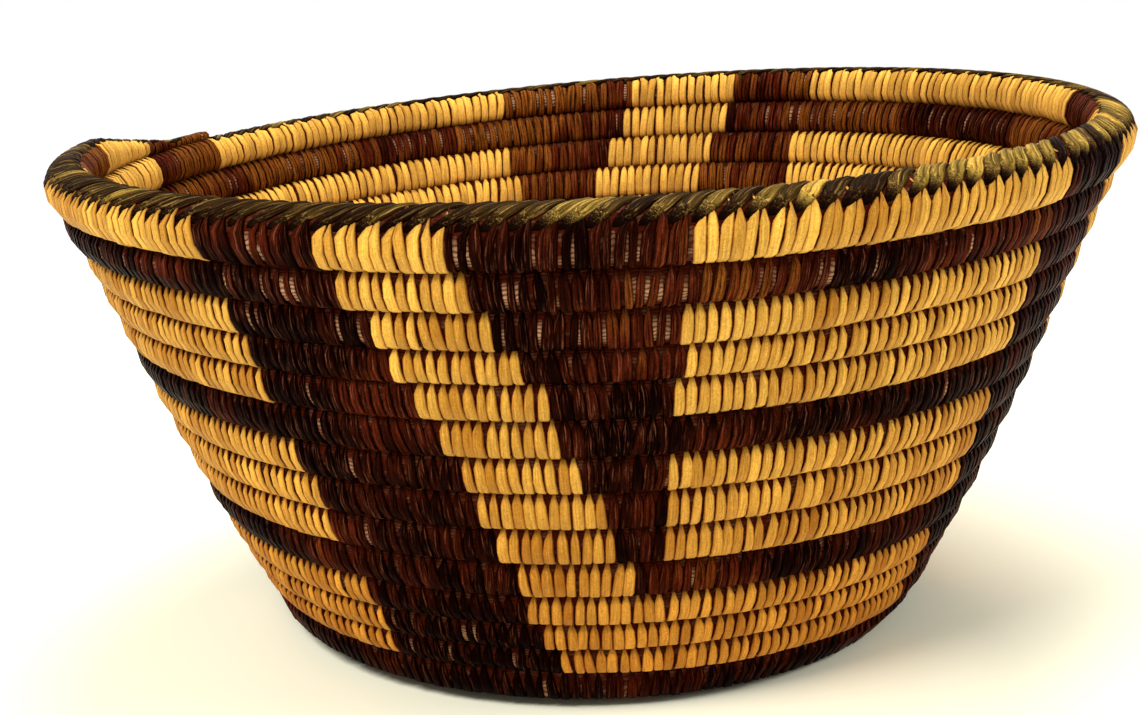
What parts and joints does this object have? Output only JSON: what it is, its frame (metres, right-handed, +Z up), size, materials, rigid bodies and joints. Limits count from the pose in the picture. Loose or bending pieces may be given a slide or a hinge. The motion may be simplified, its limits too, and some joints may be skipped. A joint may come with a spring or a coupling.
{
  "type": "coiled bowl basket",
  "caption": "Flaring coiled bowl basket with a flat base, sewn in light and dark splints in a stepped fret pattern.",
  "frame": {"origin": "middle of the bowl's outline on the surface that it stands on", "axes": "+Z up through the opening, -Y towards the side seen in the picture, +X to that view's right"},
  "size_m": [0.237, 0.2354, 0.117],
  "materials": {
    "light_splint": "golden tan plant splints, satin",
    "dark_splint": "brown-black plant splints, satin",
    "rim_splint": "dark overcast splints with a few light ones, satin",
    "grass_bundle": "dull dry grass stems"
  },
  "bodies": {
    "root": {"dark_fret_left": "dark_splint", "light_slant_left": "light_splint", "light_rim_panel_left": "light_splint", "light_upper_panel_left": "light_splint", "light_lower_panel_left": "light_splint", "dark_fret_front": "dark_splint", "light_slant_front": "light_splint", "light_rim_panel_front": "light_splint", "light_upper_panel_front": "light_splint", "light_lower_panel_front": "light_splint", "dark_fret_right": "dark_splint", "light_slant_right": "light_splint", "light_rim_panel_right": "light_splint", "light_upper_panel_right": "light_splint", "light_lower_panel_right": "light_splint", "dark_fret_back": "dark_splint", "light_slant_back": "light_splint", "light_rim_panel_back": "light_splint", "light_upper_panel_back": "light_splint", "light_lower_panel_back": "light_splint", "base_light_rounds": "light_splint", "base_dark_rounds": "dark_splint", "start_knot": "dark_splint", "foundation_coil": "grass_bundle", "rim_binding": "rim_splint"}
  },
  "joints": []
}
